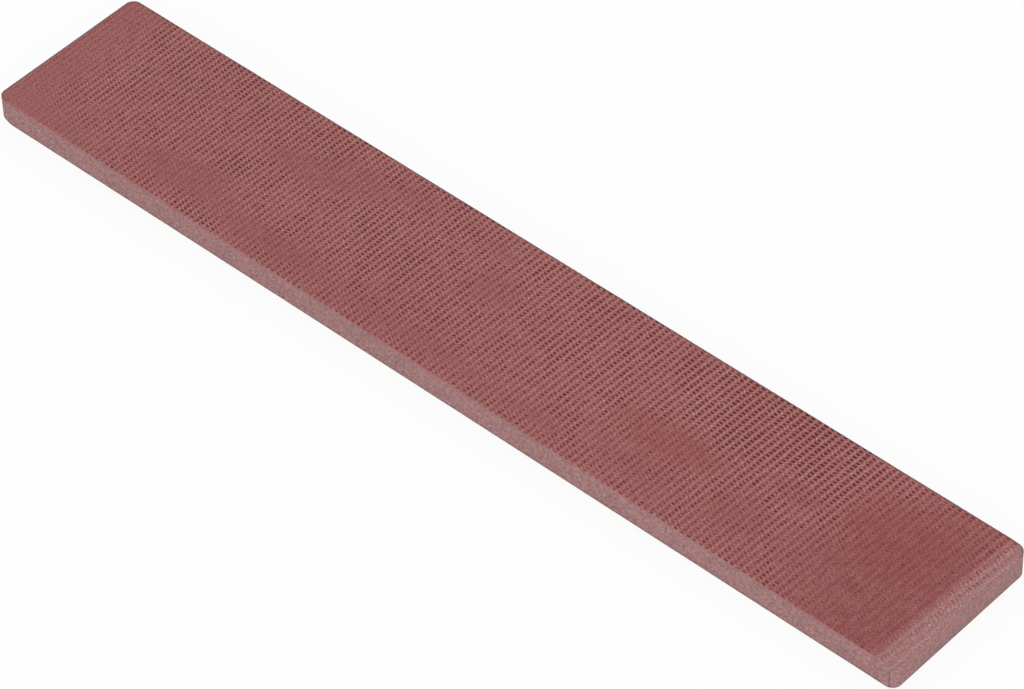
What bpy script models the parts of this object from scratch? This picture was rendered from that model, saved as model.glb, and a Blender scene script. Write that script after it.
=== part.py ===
"""Flat abrading bar: a hand stick made as a laminate, used like a file or a rasp.

A core bar carries an abrasive facing on each broad face, and a thin bond layer holds each facing on.
Metres, +Z up. The bar lies along X, and the origin is at the middle of its lower face.
"""

import bmesh
import bpy
from mathutils import Vector

MM = 0.001

# Driving dimensions
BAR_LENGTH = 150.0 * MM
BAR_WIDTH = 25.0 * MM
CORE_THICKNESS = 2.6 * MM
BOND_THICKNESS = 0.1 * MM
FACING_THICKNESS = 0.6 * MM
CORNER_RADIUS = 1.3 * MM
CORNER_SEGMENTS = 8
RIM_ROUNDING = 0.1 * MM
RIM_SEGMENTS = 2

# The upper facing is rubbed down towards its +X end
EASED_LENGTH = 2.6 * MM
EASED_DROP = 0.25 * MM

# Levels of the layers, worked out from the lower face upwards
LOWER_BOND_LEVEL = FACING_THICKNESS
CORE_LEVEL = LOWER_BOND_LEVEL + BOND_THICKNESS
UPPER_BOND_LEVEL = CORE_LEVEL + CORE_THICKNESS
UPPER_FACING_LEVEL = UPPER_BOND_LEVEL + BOND_THICKNESS

UP = Vector((0, 0, 1))
DOWN = Vector((0, 0, -1))


def clear_scene():
    """Removes what the scene starts with."""
    for old in list(bpy.data.objects):
        bpy.data.objects.remove(old, do_unlink=True)


def finish(name, colour, roughness):
    """A dull material of one colour, given as linear red, green and blue."""
    material = bpy.data.materials.new(name)
    material.use_nodes = True
    shader = material.node_tree.nodes["Principled BSDF"]
    shader.inputs["Base Color"].default_value = (*colour, 1)
    shader.inputs["Roughness"].default_value = roughness
    shader.inputs["Metallic"].default_value = 0
    return material


def plate(thickness):
    """A plate of the bar's outline with rounded corners, from its own level up to its thickness."""
    mesh = bmesh.new()
    bmesh.ops.create_cube(mesh, size=1)
    bmesh.ops.scale(mesh, vec=(BAR_LENGTH, BAR_WIDTH, thickness), verts=mesh.verts)
    bmesh.ops.translate(mesh, vec=(0, 0, thickness / 2), verts=mesh.verts)
    upright = [edge for edge in mesh.edges if is_upright(edge)]
    bmesh.ops.bevel(
        mesh,
        geom=upright,
        offset=CORNER_RADIUS,
        offset_type="OFFSET",
        segments=CORNER_SEGMENTS,
        profile=0.5,
        affect="EDGES",
    )
    return mesh


def is_upright(edge):
    """True for an edge that runs from the lower face to the upper one."""
    along = (edge.verts[1].co - edge.verts[0].co).normalized()
    return abs(along.dot(UP)) > 0.99


def round_rim(mesh, outward):
    """Takes the sharpness off the rim of the broad face that looks outward."""
    rim = [
        edge
        for edge in mesh.edges
        if sum(face.normal.dot(outward) > 0.99 for face in edge.link_faces) == 1
    ]
    bmesh.ops.bevel(
        mesh,
        geom=rim,
        offset=RIM_ROUNDING,
        offset_type="OFFSET",
        segments=RIM_SEGMENTS,
        profile=0.5,
        affect="EDGES",
    )


def ease_end(mesh, thickness):
    """Slopes the upper face down to the +X end, as hand use rubs it."""
    start = BAR_LENGTH / 2 - EASED_LENGTH
    bmesh.ops.bisect_plane(
        mesh,
        geom=mesh.verts[:] + mesh.edges[:] + mesh.faces[:],
        plane_co=(start, 0, 0),
        plane_no=(1, 0, 0),
    )
    for vert in mesh.verts:
        if vert.co.x > start and vert.co.z > thickness / 2:
            vert.co.z -= EASED_DROP * (vert.co.x - start) / EASED_LENGTH


def lay(name, mesh, level, material, bar):
    """Makes the mesh a named layer of the bar, with its lower side at the level."""
    mesh.normal_update()
    data = bpy.data.meshes.new(name)
    mesh.to_mesh(data)
    mesh.free()
    data.materials.append(material)
    data.shade_smooth()
    data.set_sharp_from_angle(angle=0.5)
    layer = bpy.data.objects.new(name, data)
    layer.location.z = level
    layer.parent = bar
    bpy.context.scene.collection.objects.link(layer)
    return layer


def lower_abrasive_facing(material, bar):
    """The working face that the bar lies on."""
    mesh = plate(FACING_THICKNESS)
    mesh.normal_update()
    round_rim(mesh, DOWN)
    lay("lower_abrasive_facing", mesh, 0, material, bar)


def upper_abrasive_facing(material, bar):
    """The working face on top, eased at its +X end."""
    mesh = plate(FACING_THICKNESS)
    mesh.normal_update()
    round_rim(mesh, UP)
    ease_end(mesh, FACING_THICKNESS)
    lay("upper_abrasive_facing", mesh, UPPER_FACING_LEVEL, material, bar)


def bond_layers(material, bar):
    """The cured bond between the core and each facing."""
    lay("lower_bond_layer", plate(BOND_THICKNESS), LOWER_BOND_LEVEL, material, bar)
    lay("upper_bond_layer", plate(BOND_THICKNESS), UPPER_BOND_LEVEL, material, bar)


def core_bar(material, bar):
    """The body of the bar, cut from sheet, which stiffens the facings."""
    lay("core_bar", plate(CORE_THICKNESS), CORE_LEVEL, material, bar)


def main():
    clear_scene()
    bar = bpy.data.objects.new("bar", None)
    bpy.context.scene.collection.objects.link(bar)
    facing = finish("bonded_abrasive_facing", (0.293, 0.112, 0.107), 0.85)
    bond = finish("cured_bond", (0.32, 0.17, 0.16), 0.8)
    body = finish("pressed_core", (0.337, 0.184, 0.178), 0.9)
    lower_abrasive_facing(facing, bar)
    core_bar(body, bar)
    bond_layers(bond, bar)
    upper_abrasive_facing(facing, bar)


main()
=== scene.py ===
import math

import bpy
import numpy as np
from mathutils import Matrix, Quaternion, Vector


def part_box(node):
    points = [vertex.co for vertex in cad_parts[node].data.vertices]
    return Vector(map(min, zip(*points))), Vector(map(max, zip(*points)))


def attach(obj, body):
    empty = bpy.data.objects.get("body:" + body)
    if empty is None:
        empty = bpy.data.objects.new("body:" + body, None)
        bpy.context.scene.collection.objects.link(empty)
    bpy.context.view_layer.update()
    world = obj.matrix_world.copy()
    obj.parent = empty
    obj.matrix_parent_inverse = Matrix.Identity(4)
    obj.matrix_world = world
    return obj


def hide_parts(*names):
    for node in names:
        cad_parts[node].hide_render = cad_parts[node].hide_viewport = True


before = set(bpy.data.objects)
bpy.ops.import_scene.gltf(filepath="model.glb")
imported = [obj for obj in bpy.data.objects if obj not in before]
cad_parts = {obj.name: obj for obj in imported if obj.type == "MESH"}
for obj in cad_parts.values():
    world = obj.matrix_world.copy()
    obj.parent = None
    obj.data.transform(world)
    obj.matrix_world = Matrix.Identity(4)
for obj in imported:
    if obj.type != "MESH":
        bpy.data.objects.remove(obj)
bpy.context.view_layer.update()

# Core bar
# The body of the stick is fine grit pressed in a hard rubber bond. It is sawn from a pressed sheet, and
# carries a facing on each broad side. Only its sawn sides and ends show.
MM = 0.001


def linear(hex_colour):
    """An sRGB hex colour as linear red, green, blue and alpha."""
    shares = [int(hex_colour[start:start + 2], 16) / 255 for start in (1, 3, 5)]
    return tuple(c / 12.92 if c <= 0.04045 else ((c + 0.055) / 1.055) ** 2.4 for c in shares) + (1.0,)


def add(material, kind, settings=(), inputs=()):
    """Adds a node of a kind, with its settings, and sets or links its inputs by name or number."""
    made = material.node_tree.nodes.new("ShaderNode" + kind)
    for name, value in dict(settings).items():
        setattr(made, name, value)
    for socket, value in dict(inputs).items():
        if isinstance(value, bpy.types.NodeSocket):
            material.node_tree.links.new(value, made.inputs[socket])
        else:
            made.inputs[socket].default_value = value
    return made


# The numbered sockets of a Mix node that is set to colours
FACTOR, FIRST, SECOND, MIXED = 0, 6, 7, 2

# Sawn grit body: a dull, chalky pink-grey. The saw tears the bond, so the cut looks finely fibrous, with
# pale and dark specks of grit, and is greyer than the pressed faces. Real grit is finer than a pixel of
# the render, so grit and fibres are drawn coarser than they are.
GRIT_SIZE = 0.28 * MM
FIBRE_LENGTH = 1.3 * MM
FIBRE_WIDTH = 0.32 * MM
FIBRE_TILT = math.radians(-32)
FIBRE_TURN = math.radians(-35)
CLOUD_SIZE = 5.0 * MM
CUT_DEPTH = 0.03 * MM
TORN_DARK = linear("#8C6565")
TORN_PALE = linear("#AB8482")

# The upper facing is redder than the core on the cut as well, and painted shade darkens the lower edge
FACING_EDGE = 3.3 * MM
TOP_EDGE = 4.0 * MM
FACING_SHARE = 0.9
FACING_CUT = linear("#9D6C6A")
SHADED_LOWER_EDGE = 0.4 * MM
LOWER_EDGE_SHADE_SHARE = 0.75
LOWER_EDGE_SHADE = linear("#756467")

# A thin dark line runs up one long side, close to the eased end
DARK_LINE_PLACE = 74.15 * MM
DARK_LINE_WIDTH = 0.1 * MM
DARK_LINE_CORE = 0.3 * DARK_LINE_WIDTH
DARK_LINE_TOP = 3.4 * MM
DARK_LINE_FADE = 0.4 * MM
DARK_LINE_SIDE = -12.0 * MM
DARK_LINE_DARKNESS = 0.42

sawn_body = bpy.data.materials.new("sawn_grit_body")
sawn_body.use_nodes = True
place = add(sawn_body, "TexCoord").outputs["Object"]
along = add(sawn_body, "SeparateXYZ", inputs={0: place}).outputs
fibre_place = add(sawn_body, "Mapping", {"vector_type": "TEXTURE"}, {
    "Vector": place,
    "Rotation": (0.0, FIBRE_TILT, FIBRE_TURN),
    "Scale": (FIBRE_LENGTH, FIBRE_WIDTH, FIBRE_WIDTH),
}).outputs["Vector"]
fibres = add(sawn_body, "TexNoise", inputs={
    "Vector": fibre_place, "Scale": 1.0, "Detail": 3.0, "Roughness": 0.6, "Distortion": 0.5,
}).outputs["Fac"]
grit = add(sawn_body, "TexNoise", inputs={
    "Vector": place, "Scale": 1 / GRIT_SIZE, "Detail": 2.0, "Roughness": 0.55,
}).outputs["Fac"]
clouds = add(sawn_body, "TexNoise", inputs={
    "Vector": place, "Scale": 1 / CLOUD_SIZE, "Detail": 2.0,
}).outputs["Fac"]

torn = add(sawn_body, "MapRange", inputs={
    "Value": fibres, "From Min": 0.32, "From Max": 0.68,
}).outputs["Result"]
facing_edge = add(sawn_body, "MapRange", inputs={
    "Value": along["Z"], "From Min": FACING_EDGE, "From Max": TOP_EDGE, "To Max": FACING_SHARE,
}).outputs["Result"]
# Painted shade along the lower edge, which turns away from the light just above the table
edge_shade = add(sawn_body, "MapRange", {"interpolation_type": "SMOOTHSTEP"}, {
    "Value": along["Z"], "From Max": SHADED_LOWER_EDGE, "To Min": LOWER_EDGE_SHADE_SHARE, "To Max": 0.0,
}).outputs["Result"]
cut_colour = TORN_DARK
for share, colour in ((torn, TORN_PALE), (facing_edge, FACING_CUT), (edge_shade, LOWER_EDGE_SHADE)):
    cut_colour = add(sawn_body, "Mix", {"data_type": "RGBA"}, {
        FACTOR: share, FIRST: cut_colour, SECOND: colour,
    }).outputs[MIXED]

from_dark_line = add(sawn_body, "Math", {"operation": "SUBTRACT"}, {
    0: along["X"], 1: DARK_LINE_PLACE,
}).outputs[0]
from_dark_line = add(sawn_body, "Math", {"operation": "ABSOLUTE"}, {0: from_dark_line}).outputs[0]
dark_line = add(sawn_body, "MapRange", {"interpolation_type": "SMOOTHSTEP"}, {
    "Value": from_dark_line,
    "From Min": DARK_LINE_CORE,
    "From Max": DARK_LINE_WIDTH,
    "To Min": DARK_LINE_DARKNESS,
    "To Max": 0.0,
}).outputs["Result"]
dark_line_height = add(sawn_body, "MapRange", {"interpolation_type": "SMOOTHSTEP"}, {
    "Value": along["Z"],
    "From Min": DARK_LINE_TOP - DARK_LINE_FADE,
    "From Max": DARK_LINE_TOP,
    "To Min": 1.0,
    "To Max": 0.0,
}).outputs["Result"]
dark_line_side = add(sawn_body, "Math", {"operation": "LESS_THAN"}, {
    0: along["Y"], 1: DARK_LINE_SIDE,
}).outputs[0]
for limit in (dark_line_height, dark_line_side):
    dark_line = add(sawn_body, "Math", {"operation": "MULTIPLY"}, {0: dark_line, 1: limit}).outputs[0]
dark_line_tone = add(sawn_body, "Math", {"operation": "SUBTRACT"}, {0: 1.0, 1: dark_line}).outputs[0]

cloud_tone = add(sawn_body, "MapRange", inputs={
    "Value": clouds, "From Min": 0.3, "From Max": 0.7, "To Min": 0.96, "To Max": 1.04,
}).outputs["Result"]
tone = add(sawn_body, "MapRange", inputs={
    "Value": grit, "From Min": 0.3, "From Max": 0.7, "To Min": 0.8, "To Max": 1.18,
}).outputs["Result"]
for mark in (cloud_tone, dark_line_tone):
    tone = add(sawn_body, "Math", {"operation": "MULTIPLY"}, {0: tone, 1: mark}).outputs[0]
body_colour = add(sawn_body, "VectorMath", {"operation": "SCALE"}, {
    "Vector": cut_colour, "Scale": tone,
}).outputs["Vector"]
torn_height = add(sawn_body, "Math", {"operation": "ADD"}, {0: fibres, 1: grit}).outputs[0]
torn_normal = add(sawn_body, "Bump", inputs={
    "Height": torn_height, "Strength": 0.5, "Distance": CUT_DEPTH,
}).outputs["Normal"]
shader = sawn_body.node_tree.nodes["Principled BSDF"]
sawn_body.node_tree.links.new(body_colour, shader.inputs["Base Color"])
sawn_body.node_tree.links.new(torn_normal, shader.inputs["Normal"])
shader.inputs["Roughness"].default_value = 0.92
shader.inputs["Specular IOR Level"].default_value = 0.25

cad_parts["core_bar"].data.materials.clear()
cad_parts["core_bar"].data.materials.append(sawn_body)

# Bond layers
# A thin film of rubber cement cures between the core and each facing. On the sawn sides it can't be told
# from the body, because the saw drags grit over it.
cement = sawn_body.copy()
cement.name = "sawn_rubber_cement"
for name in ("lower_bond_layer", "upper_bond_layer"):
    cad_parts[name].data.materials.clear()
    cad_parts[name].data.materials.append(cement)

# Abrasive facings
# Each broad side has a facing of finer, redder grit in rubber, cured against a coarse cloth that leaves
# ribs across the bar and rows of pits between them. It is cemented to the core and sawn to the outline
# with it. Use wears the relief and has blunted one lower corner, and painted shade darkens the rim.
HALF_LENGTH, HALF_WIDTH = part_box("core_bar")[1][:2]
CORNER_RADIUS = 1.3 * MM
CORNER_SEGMENTS = 8
CUT_THRESHOLD = 0.001 * MM
WALL_LIMIT = 0.05
SMOOTH_ANGLE = math.radians(62)

# The cloth was pulled a little out of square when it was pressed: its threads spread towards one end and
# one edge, and at the eased end they are pulled out at one corner
RIB_PITCH = 0.937 * MM
RIB_SHIFT = -0.155
RIB_LEAN = 0.0192
RIB_SPREAD_ALONG = 0.495
RIB_SPREAD_ACROSS = 0.402
PIT_PITCH = 0.573 * MM
PIT_SHIFT = -0.17
PIT_LEAN = 0.0167
PIT_BOW = 0.06
PIT_SPREAD_ALONG = 0.58
PIT_SPREAD_ACROSS = 0.82
PULL = 0.4 * MM
PULL_LENGTH = 4.5 * MM
PULL_WIDTH = 8.0 * MM
PLACE_PASSES = 12

# The sheet has a few threads to spare all round, and the counts of its middle allow for their spread
SAMPLES_PER_RIB = 4
SAMPLES_PER_PIT = 3
SPARE_ALONG = 1.045
SPARE_ACROSS = 1.19
SPARE_CELLS = 4
MIDDLE_RIB = -3.0
MIDDLE_PIT = 0.5
COUNT_MARGIN = 0.001

# Ribs and pits share the relief, which is partly filled along the rim. Shallow pits are less even.
RELIEF = 0.17 * MM
RIB_PART = 0.25
PIT_PART = 0.75
FULL_IMPRINT = 0.82
PIT_GAIN = 1.25
PIT_CURVE = 1.1
UNEVEN = 1.5
FILLED_EDGE = 0.35 * MM
FILLED_RELIEF = 0.3
RIM_WIDTH = 0.25 * MM
RIM_DROP = 0.05 * MM
BLUNT_FULL = 0.6 * MM
BLUNT_END = 2.3 * MM
BLUNT_WIDTH = 1.0 * MM
BLUNT_DROP = 0.5 * MM

# The upper facing's eased end: a slope, a leaning band with little relief left, and a pale line at the rim,
# partly worn bare and partly a painted highlight
EASED_LENGTH = 2.6 * MM
EASED_DROP = 0.25 * MM
EASED_CURVE = 1.4
BAND_LEAN = 0.035
BAND_START = 3.4 * MM
BAND_FULL = 2.4 * MM
BAND_WORN_SIDE = -5.0 * MM
BAND_KEPT_SIDE = 7.0 * MM
BAND_KEPT = 0.26
BAND_KEPT_MORE = 0.3
BAND_RIB_LOSS = 0.4
FADED_RIM = 1.3 * MM
SMOOTH_RIM = 0.5 * MM
RUBBED_START = 3.9 * MM
RUBBED_FULL = 1.1 * MM
RIM_HIGHLIGHT = 0.4 * MM
RIM_HIGHLIGHT_WIDTH = 0.3 * MM
RIM_HIGHLIGHT_CORE = 0.2 * RIM_HIGHLIGHT_WIDTH

# The arris is rubbed all round, partly a painted highlight. Painted shade darkens its far side and both
# ends.
WORN_HIGHLIT_EDGE = 0.4 * MM
WORN_HIGHLIT_EDGE_SHARE = 0.4
SHADED_RIM = 0.32 * MM
SHADED_RIM_CORE = 0.3 * SHADED_RIM
SHADED_REACH = 2.0 * MM
SHADED_REACH_CURVE = 0.25
EASED_RIM_SHADE = 0.2

# Worn patches as x, y, half length and half width in mm, and the share of the relief that is lost there. A
# share below zero is a patch that kept more than the rest. They are placed one by one, and fade at their
# edge.
PATCH_INNER = 0.45
PATCH_OUTER = 1.2
UPPER_PATCHES = (
    (-75, 0, 8, 40, 0.62),
    (-68, -12, 10, 4.5, 0.5),
    (-62, -6, 3, 2, 0.35),
    (0, -14, 110, 10, 0.22),
    (-46, -7.2, 9, 3.2, 0.53),
    (-43, -4.5, 3.5, 1.6, 0.35),
    (-30, -8.8, 12, 2, 0.43),
    (-5, -9.5, 18, 1.6, 0.26),
    (16, -9.8, 5, 1.4, 0.3),
    (-41, -12.8, 8, 2, -0.42),
    (-35, 3.8, 7, 2.4, 0.5),
    (-29, 6.6, 7, 3, 0.34),
    (-20, 9, 5, 2, 0.3),
    (-15, -1, 9, 5, -0.12),
    (-2, 3.5, 4.5, 3.5, 0.35),
    (-6, 8.8, 3.5, 1.5, 0.3),
    (5, -2.5, 4, 1.6, 0.2),
    (31, -2, 8.5, 3, 0.5),
    (30, -7, 8, 3.5, 0.27),
    (49, 1.5, 4.5, 2.2, 0.4),
    (45, -6, 5, 4, 0.35),
    (55, -5, 5, 5, 0.3),
    (58, 5, 4.5, 5, 0.35),
    (67, -3, 12, 18, 0.65),
    (42, 8, 20, 8, -0.28),
    (12, 4, 10, 6, -0.1),
)
LOWER_PATCHES = (
    (-75, 0, 10, 30, 0.7),
    (75, 0, 12, 30, 0.7),
    (0, -13.5, 400, 3, 0.85),
    (20, 6, 16, 6, 0.4),
    (-28, -5, 14, 6, 0.4),
)

# Patches of the upper facing, in the same terms, where wear has left a deeper red, and how much darker
# wear makes the facing at places along the bar in mm
REDDENED_PATCHES = (
    (62, 4, 10, 9, 0.9),
    (31, -2, 9, 4, 0.9),
)
POLISH_PLACES = (-66, -52, 10, 55)
POLISH_SHARES = (0.35, 1.0, 1.0, 1.3)


def thread_place(rib, pit):
    """Where on the bar the cloth's thread counts fall. Each pass of the loop brings the place nearer."""
    x = np.zeros_like(rib)
    y = np.zeros_like(pit)
    for _ in range(PLACE_PASSES):
        rib_spread = 1 + RIB_SPREAD_ALONG * x + RIB_SPREAD_ACROSS * y
        pit_spread = 1 + PIT_SPREAD_ALONG * x + PIT_SPREAD_ACROSS * y
        x_next = (rib - RIB_SHIFT) * RIB_PITCH * rib_spread + RIB_LEAN * y
        y = (pit - PIT_SHIFT) * PIT_PITCH * pit_spread + PIT_LEAN * x - PIT_BOW * x * x
        x = x_next
    return x, y


def smooth(value, start, end):
    """Goes from 0 to 1 between start and end, with soft ends."""
    share = np.clip((value - start) / (end - start), 0, 1)
    return share * share * (3 - 2 * share)


def outline_planes():
    """A point and an outward direction for each straight cut of the outline, corners included."""
    planes = [((HALF_LENGTH, 0), (1, 0)), ((-HALF_LENGTH, 0), (-1, 0))]
    planes += [((0, HALF_WIDTH), (0, 1)), ((0, -HALF_WIDTH), (0, -1))]
    step = math.pi / 2 / CORNER_SEGMENTS
    flat = CORNER_RADIUS * math.cos(step / 2)
    for quarter in range(4):
        for segment in range(CORNER_SEGMENTS):
            angle = quarter * math.pi / 2 + (segment + 0.5) * step
            out = (math.cos(angle), math.sin(angle))
            centre_x = math.copysign(HALF_LENGTH - CORNER_RADIUS, out[0])
            centre_y = math.copysign(HALF_WIDTH - CORNER_RADIUS, out[1])
            planes.append(((centre_x + flat * out[0], centre_y + flat * out[1]), out))
    return planes


def edge_distance(x, y):
    """How far a place lies inside the outline."""
    inside = np.full_like(x, HALF_LENGTH)
    for point, out in outline_planes():
        inside = np.minimum(inside, (point[0] - x) * out[0] + (point[1] - y) * out[1])
    return inside


def imprint(x, y, patches):
    """How much of the relief is left at a place, with the worn patches taken off."""
    left = np.full_like(x, FULL_IMPRINT)
    for patch_x, patch_y, half_length, half_width, loss in patches:
        away = np.hypot((x / MM - patch_x) / half_length, (y / MM - patch_y) / half_width)
        left *= 1 - loss * (1 - smooth(away, PATCH_INNER, PATCH_OUTER))
    return left


def read(items, name, width):
    """The values of one property of a mesh's items, as rows of that width."""
    values = np.empty(len(items) * width)
    items.foreach_get(name, values)
    return values.reshape(-1, width)


def corner_vertices(mesh):
    """The number of the vertex at each corner of each face."""
    return read(mesh.loops, "vertex_index", 1).ravel().astype(int)


def thread_sheet(name):
    """Adds a flat sheet of squares, with the numbers of ribs and pits that it has room for."""
    bpy.ops.object.select_all(action="DESELECT")
    ribs = 2 * math.ceil(HALF_LENGTH / RIB_PITCH * SPARE_ALONG)
    pits = 2 * math.ceil(HALF_WIDTH / PIT_PITCH * SPARE_ACROSS)
    bpy.ops.mesh.primitive_grid_add(
        x_subdivisions=ribs * SAMPLES_PER_RIB,
        y_subdivisions=pits * SAMPLES_PER_PIT,
        size=1,
        location=(0, 0, 0),
    )
    piece = bpy.context.object
    piece.name = name
    piece.data.name = name
    return piece, ribs, pits


def cut_and_close(back):
    """Cuts the new sheet to the outline, then draws its rim to the level of the bond and closes it."""
    bpy.ops.object.mode_set(mode="EDIT")
    bpy.ops.mesh.select_mode(type="FACE")
    for point, out in outline_planes():
        bpy.ops.mesh.select_all(action="SELECT")
        bpy.ops.mesh.bisect(
            plane_co=(*point, 0), plane_no=(*out, 0), clear_outer=True, threshold=CUT_THRESHOLD
        )
    bpy.ops.mesh.select_all(action="DESELECT")
    bpy.ops.mesh.select_mode(type="EDGE")
    bpy.ops.mesh.select_non_manifold(
        extend=False, use_wire=False, use_multi_face=False, use_non_contiguous=False, use_verts=False
    )
    bpy.ops.mesh.extrude_edges_move()
    bpy.ops.transform.resize(value=(1, 1, 0), center_override=(0, 0, back))
    bpy.ops.mesh.edge_face_add()
    bpy.ops.mesh.select_all(action="SELECT")
    bpy.ops.mesh.normals_make_consistent(inside=False)
    bpy.ops.object.mode_set(mode="OBJECT")


def lay_flat(mesh, upward):
    """Makes the map that the piece is baked through. The face fills two strips, one for each half of the
    bar, so that each thread has its own pixels. The walls and the hidden back lie in thin strips below."""
    margin = 0.01
    back_strip, back_height = 0.01, 0.06
    end_strip, end_height = 0.085, 0.015
    end_length, far_end_start = 0.45, 0.55
    near_side_strip, far_side_strip, side_height = 0.11, 0.15, 0.03
    first_half_strip, second_half_strip, half_height = 0.2, 0.6, 0.39

    corners_of_face = read(mesh.polygons, "loop_total", 1).ravel().astype(int)
    face = np.repeat(np.arange(len(mesh.polygons)), corners_of_face)
    normal = read(mesh.polygons, "normal", 3)[face]
    centre = read(mesh.polygons, "center", 3)[face]
    corner = read(mesh.vertices, "co", 3)[corner_vertices(mesh)]
    along = corner[:, 0] / HALF_LENGTH / 2 + 0.5
    across = corner[:, 1] / HALF_WIDTH / 2 + 0.5
    height = (corner[:, 2] - corner[:, 2].min()) / np.ptp(corner[:, 2])
    pressed = normal[:, 2] * upward > WALL_LIMIT
    hidden = normal[:, 2] * upward < -WALL_LIMIT
    end_wall = ~pressed & ~hidden & (np.abs(normal[:, 0]) > np.abs(normal[:, 1]))
    second_half = centre[:, 0] > 0
    far_side = centre[:, 1] > 0

    u = along
    v = np.where(far_side, far_side_strip, near_side_strip) + side_height * height
    u = np.where(end_wall, end_length * across + far_end_start * second_half, u)
    v = np.where(end_wall, end_strip + end_height * height, v)
    v = np.where(hidden, back_strip + back_height * across, v)
    u = np.where(pressed, 2 * along - second_half, u)
    half_strip = np.where(second_half, second_half_strip, first_half_strip)
    v = np.where(pressed, half_strip + half_height * across, v)
    flat = mesh.uv_layers.new(name="OFBake")
    flat.data.foreach_set("uv", np.stack([margin + (1 - 2 * margin) * u, v], axis=1).ravel())


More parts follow.
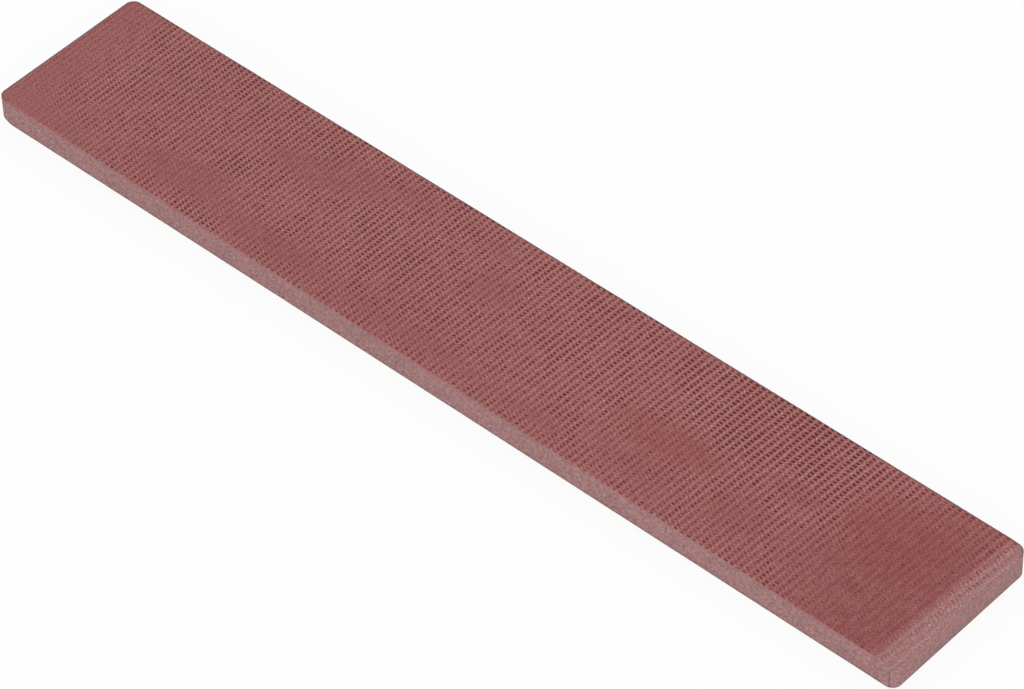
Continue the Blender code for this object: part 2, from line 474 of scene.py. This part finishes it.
def pressed_facing(name, node, patches, eased, seed):
    """Presses a sheet against the cloth, wears it, cuts it to the outline and closes it at the bond."""
    back, front = (corner[2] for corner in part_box(node))
    upward = 1
    if node.startswith("lower"):
        back, front = front, back
        upward = -1
    piece, ribs, pits = thread_sheet(name)
    mesh = piece.data
    sheet = read(mesh.vertices, "co", 3)
    rib = sheet[:, 0] / np.ptp(sheet[:, 0]) * ribs + MIDDLE_RIB
    pit = sheet[:, 1] / np.ptp(sheet[:, 1]) * pits + MIDDLE_PIT
    x, y = thread_place(rib, pit)
    y = y * upward
    if eased:
        x = x + PULL * smooth(x, HALF_LENGTH - PULL_LENGTH, HALF_LENGTH) * smooth(y, 0, PULL_WIDTH)

    # What is left of the relief, and how polished the worn places are
    left = imprint(x, y, patches)
    rib_left = left.copy()
    wear = np.clip(1 - left / FULL_IMPRINT, 0, 1)
    if eased:
        leaning = x - BAND_LEAN * y
        band = smooth(leaning, HALF_LENGTH - BAND_START, HALF_LENGTH - BAND_FULL)
        kept = BAND_KEPT + BAND_KEPT_MORE * smooth(y, BAND_WORN_SIDE, BAND_KEPT_SIDE)
        left += (kept - left) * band
        left *= 1 - smooth(x, HALF_LENGTH - FADED_RIM, HALF_LENGTH - SMOOTH_RIM)
        rib_left *= 1 - BAND_RIB_LOSS * band
        wear *= 1 - band
    polished = wear * np.interp(x / MM, POLISH_PLACES, POLISH_SHARES)

    # Every pit has a depth of its own
    random = np.random.default_rng(seed)
    chance = random.uniform(-0.5, 0.5, (ribs + SPARE_CELLS, pits + SPARE_CELLS))
    rib_index = np.floor(rib - rib.min() + COUNT_MARGIN).astype(int)
    pit_index = np.floor(pit - pit.min() + COUNT_MARGIN).astype(int)
    depth = PIT_GAIN * left ** PIT_CURVE * (1 + (UNEVEN - left) * chance[rib_index, pit_index])
    valley = 0.5 - 0.5 * np.cos(2 * np.pi * rib)
    hole = valley * (0.5 - 0.5 * np.cos(2 * np.pi * pit))
    inside = edge_distance(x, y)
    relief = RELIEF * (FILLED_RELIEF + (1 - FILLED_RELIEF) * smooth(inside, 0, FILLED_EDGE))
    z = front - upward * relief * (RIB_PART * rib_left * valley + PIT_PART * depth * hole)

    # The slope of the eased end, the blunt corner and the rounded rim
    blunt = np.zeros_like(x)
    if eased:
        slope = np.clip((x - HALF_LENGTH + EASED_LENGTH) / EASED_LENGTH, 0, 1)
        z -= EASED_DROP * slope ** EASED_CURVE
    else:
        from_corner = np.hypot(x + HALF_LENGTH, y + HALF_WIDTH)
        blunt = 1 - smooth(from_corner, BLUNT_FULL, BLUNT_END)
    rim = np.clip(1 - inside / (RIM_WIDTH + BLUNT_WIDTH * blunt), 0, 1)
    z -= upward * (RIM_DROP + BLUNT_DROP * blunt) * rim * rim
    mesh.vertices.foreach_set("co", np.stack([x, y, z], axis=1).ravel())

    # Where the facing is rubbed pale with a painted highlight, reddened, or darkened at the rim by painted
    # shade
    # The arris is rubbed pale, and its paleness is partly a painted highlight where it rolls over
    rubbed_and_highlit = WORN_HIGHLIT_EDGE_SHARE * (1 - smooth(inside, 0, WORN_HIGHLIT_EDGE))
    reddened = np.zeros_like(x)
    shaded_rims = smooth(y, HALF_WIDTH - SHADED_REACH, HALF_WIDTH)
    shaded_rims = np.maximum(shaded_rims, smooth(-x, HALF_LENGTH - SHADED_REACH, HALF_LENGTH)) ** SHADED_REACH_CURVE
    if eased:
        rubbed_and_highlit += smooth(leaning, HALF_LENGTH - RUBBED_START, HALF_LENGTH - RUBBED_FULL)
        # A pale line along the eased end's rim: worn body colour with a painted highlight
        from_line = np.abs(x - HALF_LENGTH + RIM_HIGHLIGHT)
        rubbed_and_highlit += 1 - smooth(from_line, RIM_HIGHLIGHT_CORE, RIM_HIGHLIGHT_WIDTH)
        reddened = 1 - imprint(x, y, REDDENED_PATCHES) / FULL_IMPRINT
        shaded_rims = np.maximum(shaded_rims, EASED_RIM_SHADE * smooth(x, HALF_LENGTH - SHADED_REACH, HALF_LENGTH))
    # Painted shade along the rim: full on the far side and the far end, light at the eased end
    edge_shade = shaded_rims * (1 - smooth(inside, SHADED_RIM_CORE, SHADED_RIM))

    # The material reads these, and the thread counts as a map
    for layer, values in (
        ("pits", depth),
        ("ribs", rib_left),
        ("polished", polished),
        ("rubbed_and_highlit", rubbed_and_highlit),
        ("reddened", reddened),
        ("edge_shade", edge_shade),
    ):
        mesh.attributes.new(layer, "FLOAT", "POINT").data.foreach_set("value", values)
    while mesh.uv_layers:
        mesh.uv_layers.remove(mesh.uv_layers[0])
    threads = mesh.uv_layers.new(name="threads")
    threads.data.foreach_set("uv", np.stack([rib, pit], axis=1)[corner_vertices(mesh)].ravel())
    mesh.update()
    cut_and_close(back)
    lay_flat(mesh, upward)
    return piece


# Cloth-pressed facing: dull brick red, with painted highlights on the ribs, painted shade in the valleys,
# and painted shade with some dust in the pits. Worn places are a darker, streaky red with shallow, leaning
# pits, and at the eased end and the rim the paler body colour shows, partly as a painted highlight. The
# grain, with a few painted glints, is drawn coarser than real grit, so that it shows.
GRAIN_SIZE = 0.2 * MM
GRAIN_DEPTH = 0.025 * MM
RAGGED_SIZE = 1.2 * MM
THREAD_WANDER = 1.6 * MM
PATCH_SIZE = 2.6 * MM
STAIN_SIZE = 9.0 * MM
BRICK_RED = linear("#9C605E")
DEEP_RED = linear("#9B5C5A")
BARE_BODY = linear("#A07270")
BARE_RIM_HIGHLIGHT = linear("#9F7876")
RIM_SHADE = linear("#655154")
RIM_SHADE_SHARE = 0.8

# Pits as shares of a cell between threads, and how they and the painted shade of the valleys change
# from shallow to deep pits
SHALLOW = 0.4
DEEP = 1.35
PIT_LONG_SHALLOW = 0.38
PIT_LONG_DEEP = 0.5
PIT_WIDE = 0.44
SLANT_SHALLOW = 0.8
SLANT_DEEP = 0.05
VALLEY_SHADE_SHALLOW = 0.82
VALLEY_SHADE_DEEP = 0.97
# The darkest painted shade in a pit and the brightest painted highlight on a rib
PIT_SHADE_DARKEST = 0.2
RIB_HIGHLIGHT = 1.8

# How much the grain with its painted glints, the polish and the streaks lighten or darken the face
SPECK_RANGE = 0.56
GLINT_HIGHLIGHT = 0.65
SPECKS_ON_FACE = 1.05
SPECKS_ON_BARE = 0.75
SPECKS_POLISHED = 0.85
POLISH_DARKEST = 0.69
STREAK_RANGE = 0.17
STREAK_SHARE = 0.3
BARE_IN_PIT = 0.15
RED_HOLD = 0.57
RED_HOLD_BARE = 0.75

facing = bpy.data.materials.new("cloth_pressed_facing")
facing.use_nodes = True
place = add(facing, "TexCoord").outputs["Object"]
pits = add(facing, "Attribute", {"attribute_name": "pits"}).outputs["Fac"]
ribs = add(facing, "Attribute", {"attribute_name": "ribs"}).outputs["Fac"]
polished = add(facing, "Attribute", {"attribute_name": "polished"}).outputs["Fac"]
rubbed_and_highlit = add(facing, "Attribute", {"attribute_name": "rubbed_and_highlit"}).outputs["Fac"]
reddened = add(facing, "Attribute", {"attribute_name": "reddened"}).outputs["Fac"]
edge_shade = add(facing, "Attribute", {"attribute_name": "edge_shade"}).outputs["Fac"]

# The place within a cell of the cloth, measured from its pit. The threads wander a little.
count = add(facing, "UVMap", {"uv_map": "threads"}).outputs["UV"]
wander = add(facing, "TexNoise", inputs={
    "Vector": place, "Scale": 1 / THREAD_WANDER, "Detail": 2.0,
}).outputs["Color"]
wander = add(facing, "VectorMath", {"operation": "MULTIPLY_ADD"}, {
    0: wander, 1: (0.2, 0.28, 0.0), 2: (-0.1, -0.14, 0.0),
}).outputs["Vector"]
count = add(facing, "VectorMath", {"operation": "ADD"}, {0: count, 1: wander}).outputs["Vector"]
cell = add(facing, "VectorMath", {"operation": "FRACTION"}, {0: count}).outputs["Vector"]
cell = add(facing, "VectorMath", {"operation": "SUBTRACT"}, {
    0: cell, 1: (0.5, 0.5, 0.0),
}).outputs["Vector"]
cell = add(facing, "SeparateXYZ", inputs={0: cell}).outputs

# Pits of painted shade with some dust, which lean with the twist of the thread where they are shallow
slant = add(facing, "MapRange", inputs={
    "Value": pits, "From Min": SHALLOW, "From Max": DEEP, "To Min": SLANT_SHALLOW, "To Max": SLANT_DEEP,
}).outputs["Result"]
slanted = add(facing, "Math", {"operation": "MULTIPLY_ADD"}, {
    0: cell["Y"], 1: slant, 2: cell["X"],
}).outputs[0]
pit_long = add(facing, "MapRange", inputs={
    "Value": pits,
    "From Min": SHALLOW,
    "From Max": DEEP,
    "To Min": PIT_LONG_SHALLOW,
    "To Max": PIT_LONG_DEEP,
}).outputs["Result"]
pit_size = add(facing, "CombineXYZ", inputs={"X": pit_long, "Y": PIT_WIDE, "Z": 1.0}).outputs[0]
pit_place = add(facing, "CombineXYZ", inputs={"X": slanted, "Y": cell["Y"]}).outputs[0]
pit_place = add(facing, "VectorMath", {"operation": "DIVIDE"}, {
    0: pit_place, 1: pit_size,
}).outputs["Vector"]
from_pit = add(facing, "VectorMath", {"operation": "LENGTH"}, {0: pit_place}).outputs["Value"]
pit_shade = add(facing, "MapRange", {"interpolation_type": "SMOOTHSTEP"}, {
    "Value": from_pit, "From Min": 0.15, "From Max": 1.0, "To Min": 1.0, "To Max": 0.0,
}).outputs["Result"]
patch = add(facing, "TexNoise", inputs={
    "Vector": place, "Scale": 1 / PATCH_SIZE, "Detail": 2.0,
}).outputs["Fac"]
patch = add(facing, "MapRange", inputs={
    "Value": patch, "From Min": 0.32, "From Max": 0.68, "To Min": 0.6, "To Max": 1.25,
}).outputs["Result"]
pit_shade = add(facing, "Math", {"operation": "MULTIPLY"}, {0: pit_shade, 1: pits}).outputs[0]
pit_shade = add(facing, "Math", {"operation": "MULTIPLY", "use_clamp": True}, {
    0: pit_shade, 1: patch,
}).outputs[0]
# Painted shade with some dust in the pits, over the shade that their real depth casts
pit_shade_tone = add(facing, "MapRange", inputs={
    "Value": pit_shade, "To Min": 1.0, "To Max": PIT_SHADE_DARKEST,
}).outputs["Result"]

# Painted highlights on the ribs, brightest beside the pits, and painted shade in the valleys between them
from_valley = add(facing, "Math", {"operation": "ABSOLUTE"}, {0: cell["X"]}).outputs[0]
rib_highlight = add(facing, "MapRange", {"interpolation_type": "SMOOTHSTEP"}, {
    "Value": from_valley, "From Min": 0.22, "From Max": 0.5,
}).outputs["Result"]
beside_pit = add(facing, "Math", {"operation": "MULTIPLY"}, {0: cell["Y"], 1: 2 * math.pi}).outputs[0]
beside_pit = add(facing, "Math", {"operation": "COSINE"}, {0: beside_pit}).outputs[0]
beside_pit = add(facing, "MapRange", inputs={
    "Value": beside_pit, "From Min": -1.0, "From Max": 1.0, "To Min": 0.0, "To Max": 1.0,
}).outputs["Result"]
for share in (beside_pit, ribs):
    rib_highlight = add(facing, "Math", {"operation": "MULTIPLY"}, {0: rib_highlight, 1: share}).outputs[0]
rib_highlight_tone = add(facing, "MapRange", inputs={
    "Value": rib_highlight, "To Min": 1.0, "To Max": RIB_HIGHLIGHT,
}).outputs["Result"]
# Painted shade along the valleys, darker where the pits are shallow
valley = add(facing, "MapRange", {"interpolation_type": "SMOOTHSTEP"}, {
    "Value": from_valley, "From Min": 0.0, "From Max": 0.3, "To Min": 1.0, "To Max": 0.0,
}).outputs["Result"]
valley = add(facing, "Math", {"operation": "MULTIPLY"}, {0: valley, 1: ribs}).outputs[0]
valley_shade_darkest = add(facing, "MapRange", inputs={
    "Value": pits, "From Min": SHALLOW, "From Max": DEEP, "To Min": VALLEY_SHADE_SHALLOW, "To Max": VALLEY_SHADE_DEEP,
}).outputs["Result"]
valley_shade_tone = add(facing, "MapRange", inputs={
    "Value": valley, "To Min": 1.0, "To Max": valley_shade_darkest,
}).outputs["Result"]

# Colour: brick red, reddened by wear, rubbed to the body with a ragged edge, and painted shade at the rim
ragged = add(facing, "TexNoise", inputs={
    "Vector": place, "Scale": 1 / RAGGED_SIZE, "Detail": 3.0, "Roughness": 0.6,
}).outputs["Fac"]
rubbed_and_highlit = add(facing, "Math", {"operation": "MULTIPLY_ADD"}, {0: ragged, 1: 1.3, 2: rubbed_and_highlit}).outputs[0]
# Bare body colour where rubbed. Along the arris and the eased end's rim it is partly a painted highlight
bare_and_highlit = add(facing, "MapRange", {"interpolation_type": "SMOOTHSTEP"}, {
    "Value": rubbed_and_highlit, "From Min": 0.65, "From Max": 1.65,
}).outputs["Result"]
# The palest painted highlight, on the eased end's rim line
bare_rim_highlight = add(facing, "MapRange", {"interpolation_type": "SMOOTHSTEP"}, {
    "Value": rubbed_and_highlit, "From Min": 1.95, "From Max": 2.7,
}).outputs["Result"]
hollow = add(facing, "MapRange", inputs={
    "Value": pit_shade, "To Min": 1.0, "To Max": BARE_IN_PIT,
}).outputs["Result"]
bare_and_highlit = add(facing, "Math", {"operation": "MULTIPLY"}, {0: bare_and_highlit, 1: hollow}).outputs[0]
edge_shade = add(facing, "Math", {"operation": "MULTIPLY"}, {0: edge_shade, 1: RIM_SHADE_SHARE}).outputs[0]
worn_colour = BRICK_RED
for share, colour in (
    (reddened, DEEP_RED),
    (bare_and_highlit, BARE_BODY),
    (bare_rim_highlight, BARE_RIM_HIGHLIGHT),
    (edge_shade, RIM_SHADE),
):
    worn_colour = add(facing, "Mix", {"data_type": "RGBA"}, {
        FACTOR: share, FIRST: worn_colour, SECOND: colour,
    }).outputs[MIXED]

# Grain: pale and dark specks with a few painted glints, weaker where the facing is bare or polished
grain = add(facing, "TexNoise", inputs={
    "Vector": place, "Scale": 1 / GRAIN_SIZE, "Detail": 2.0, "Roughness": 0.6,
}).outputs["Fac"]
specks = add(facing, "MapRange", inputs={
    "Value": grain, "From Min": 0.3, "From Max": 0.7, "To Min": -SPECK_RANGE, "To Max": SPECK_RANGE,
}).outputs["Result"]
# Painted glints: bright highlight specks on the grain
glint_highlight = add(facing, "MapRange", inputs={
    "Value": grain, "From Min": 0.58, "From Max": 0.75, "To Min": 0.0, "To Max": GLINT_HIGHLIGHT,
}).outputs["Result"]
specks = add(facing, "Math", {"operation": "ADD"}, {0: specks, 1: glint_highlight}).outputs[0]
speck_share = add(facing, "MapRange", inputs={
    "Value": bare_and_highlit, "To Min": SPECKS_ON_FACE, "To Max": SPECKS_ON_BARE,
}).outputs["Result"]
calm = add(facing, "MapRange", inputs={
    "Value": polished, "To Min": 1.0, "To Max": SPECKS_POLISHED,
}).outputs["Result"]
speck_share = add(facing, "Math", {"operation": "MULTIPLY"}, {0: speck_share, 1: calm}).outputs[0]
speck_and_glint_tone = add(facing, "Math", {"operation": "MULTIPLY_ADD"}, {
    0: specks, 1: speck_share, 2: 1.0,
}).outputs[0]

# Polish of the worn places, their streaks along the ribs, and stains over the whole face
polish = add(facing, "MapRange", inputs={
    "Value": polished, "To Min": 1.0, "To Max": POLISH_DARKEST,
}).outputs["Result"]
polish_tone = add(facing, "Math", {"operation": "MAXIMUM"}, {0: polish, 1: bare_and_highlit}).outputs[0]
streak_place = add(facing, "VectorMath", {"operation": "MULTIPLY"}, {
    0: count, 1: (1.0, STREAK_SHARE, 0.0),
}).outputs["Vector"]
streak = add(facing, "TexNoise", inputs={
    "Vector": streak_place, "Scale": 1.0, "Detail": 2.0,
}).outputs["Fac"]
streak = add(facing, "MapRange", inputs={
    "Value": streak, "From Min": 0.32, "From Max": 0.68, "To Min": -STREAK_RANGE, "To Max": STREAK_RANGE,
}).outputs["Result"]
streak_tone = add(facing, "Math", {"operation": "MULTIPLY_ADD"}, {
    0: streak, 1: polished, 2: 1.0,
}).outputs[0]
stain = add(facing, "TexNoise", inputs={
    "Vector": place, "Scale": 1 / STAIN_SIZE, "Detail": 3.0,
}).outputs["Fac"]
stain_tone = add(facing, "MapRange", inputs={
    "Value": stain, "From Min": 0.3, "From Max": 0.7, "To Min": 0.95, "To Max": 1.05,
}).outputs["Result"]

# Shade in a red hollow is red itself, so the red falls and rises less than the rest
tone = pit_shade_tone
for part_tone in (rib_highlight_tone, valley_shade_tone, speck_and_glint_tone, polish_tone, streak_tone, stain_tone):
    tone = add(facing, "Math", {"operation": "MULTIPLY"}, {0: tone, 1: part_tone}).outputs[0]
red_hold = add(facing, "MapRange", inputs={
    "Value": bare_and_highlit, "To Min": RED_HOLD, "To Max": RED_HOLD_BARE,
}).outputs["Result"]
red_tone = add(facing, "Math", {"operation": "POWER"}, {0: tone, 1: red_hold}).outputs[0]
tones = add(facing, "CombineXYZ", inputs={"X": red_tone, "Y": tone, "Z": tone}).outputs[0]
face_colour = add(facing, "VectorMath", {"operation": "MULTIPLY"}, {
    0: worn_colour, 1: tones,
}).outputs["Vector"]
grain_normal = add(facing, "Bump", inputs={
    "Height": grain, "Strength": 0.5, "Distance": GRAIN_DEPTH,
}).outputs["Normal"]
shader = facing.node_tree.nodes["Principled BSDF"]
facing.node_tree.links.new(face_colour, shader.inputs["Base Color"])
facing.node_tree.links.new(grain_normal, shader.inputs["Normal"])
shader.inputs["Roughness"].default_value = 0.85
shader.inputs["Specular IOR Level"].default_value = 0.3

# Name, the node it stands for, its wear, whether its end is eased, and the seed of its pit depths
facings = (
    ("upper_facing_pressed", "upper_abrasive_facing", UPPER_PATCHES, True, 11),
    ("lower_facing_pressed", "lower_abrasive_facing", LOWER_PATCHES, False, 12),
)
for name, node, patches, eased, seed in facings:
    piece = pressed_facing(name, node, patches, eased, seed)
    mesh = piece.data
    mesh.materials.append(facing)
    mesh.materials.append(sawn_body)
    walls = np.abs(read(mesh.polygons, "normal", 3)[:, 2]) < WALL_LIMIT
    mesh.polygons.foreach_set("material_index", walls.astype(np.int32))
    bpy.ops.object.shade_smooth_by_angle(angle=SMOOTH_ANGLE)
    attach(piece, "root")
    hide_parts(node)

# Table
# A matt white table top that the bar lies on, a hair below its lower face. Most of its white is a glow that
# only the camera sees, so that it stays white and the bar's shadow on it is faint.
TABLE_SIZE = 4.0
TABLE_GAP = 0.02 * MM
TABLE_GLOW = 0.88
PURE_WHITE = linear("#FFFFFF")


def seen_by_camera(owner):
    """1 for what the camera sees, also in gloss or through glass, and 0 for light that falls elsewhere."""
    path = add(owner, "LightPath").outputs
    seen = path["Is Camera Ray"]
    for ray in ("Is Glossy Ray", "Is Transmission Ray"):
        seen = add(owner, "Math", {"operation": "MAXIMUM"}, {0: seen, 1: path[ray]}).outputs[0]
    return seen


bpy.ops.object.select_all(action="DESELECT")
bpy.ops.mesh.primitive_plane_add(size=TABLE_SIZE, location=(0, 0, 0))
table = bpy.context.object
table.name = "white_table"
for vertex in table.data.vertices:
    vertex.co.z = -TABLE_GAP

# Matt white table top: a dull, even white without gloss
table_white = bpy.data.materials.new("matt_white_table")
table_white.use_nodes = True
shader = table_white.node_tree.nodes["Principled BSDF"]
shader.inputs["Base Color"].default_value = linear("#FBFBFB")
shader.inputs["Roughness"].default_value = 0.9
shader.inputs["Specular IOR Level"].default_value = 0.0
glow_share = add(table_white, "Math", {"operation": "MULTIPLY"}, {
    0: seen_by_camera(table_white), 1: TABLE_GLOW,
}).outputs[0]
glow = add(table_white, "Emission", inputs={"Color": PURE_WHITE, "Strength": 1.0}).outputs[0]
lit = add(table_white, "MixShader", inputs={
    0: glow_share, 1: shader.outputs["BSDF"], 2: glow,
}).outputs[0]
table_white.node_tree.links.new(lit, table_white.node_tree.nodes["Material Output"].inputs["Surface"])
table.data.materials.append(table_white)

# Light
# An even white surround lights the bar from all sides. One large soft lamp stands on the camera's side, a
# little lower than the camera, and draws the ribs.
SURROUND_LIGHT = 0.8
LAMP_SIZE = 0.7
LAMP_POWER = 3.0
LAMP_PLACE = Vector((0.52, -0.63, 0.57))

world = bpy.data.worlds.new("white_surround")
bpy.context.scene.world = world
world.use_nodes = True
level = add(world, "MapRange", inputs={
    "Value": seen_by_camera(world), "To Min": SURROUND_LIGHT, "To Max": 1.0,
}).outputs["Result"]
sky = world.node_tree.nodes["Background"]
sky.inputs["Color"].default_value = PURE_WHITE
world.node_tree.links.new(level, sky.inputs["Strength"])

lamp_data = bpy.data.lights.new("soft_lamp", "AREA")
lamp_data.shape = "DISK"
lamp_data.size = LAMP_SIZE
lamp_data.energy = LAMP_POWER
lamp = bpy.data.objects.new("soft_lamp", lamp_data)
lamp.location = LAMP_PLACE
lamp.rotation_mode = "QUATERNION"
lamp.rotation_quaternion = (-LAMP_PLACE).to_track_quat("-Z", "Y")
bpy.context.scene.collection.objects.link(lamp)

# Camera
# A long lens looks down on the bar at a slant, from the side of its eased end. The bar then runs from the
# upper left to the lower right of the picture and nearly fills it.
AIM = Vector((6.034, -2.398, 4.0)) * MM
AZIMUTH = math.radians(43.203)
ELEVATION = math.radians(45.436)
ROLL = math.radians(-1.6126)
DISTANCE = 635.28 * MM
SENSOR_WIDTH = 36.0
LENS = 180.977

level_back = math.cos(ELEVATION)
back = Vector((
    math.sin(AZIMUTH) * level_back,
    -math.cos(AZIMUTH) * level_back,
    math.sin(ELEVATION),
))
camera_data = bpy.data.cameras.new("camera")
camera_data.sensor_width = SENSOR_WIDTH
camera_data.lens = LENS
camera = bpy.data.objects.new("camera", camera_data)
camera.location = AIM + back * DISTANCE
camera.rotation_mode = "QUATERNION"
camera.rotation_quaternion = (-back).to_track_quat("-Z", "Y") @ Quaternion((0, 0, 1), ROLL)
bpy.context.scene.collection.objects.link(camera)
bpy.context.scene.camera = camera
bpy.context.scene.view_settings.view_transform = "Standard"
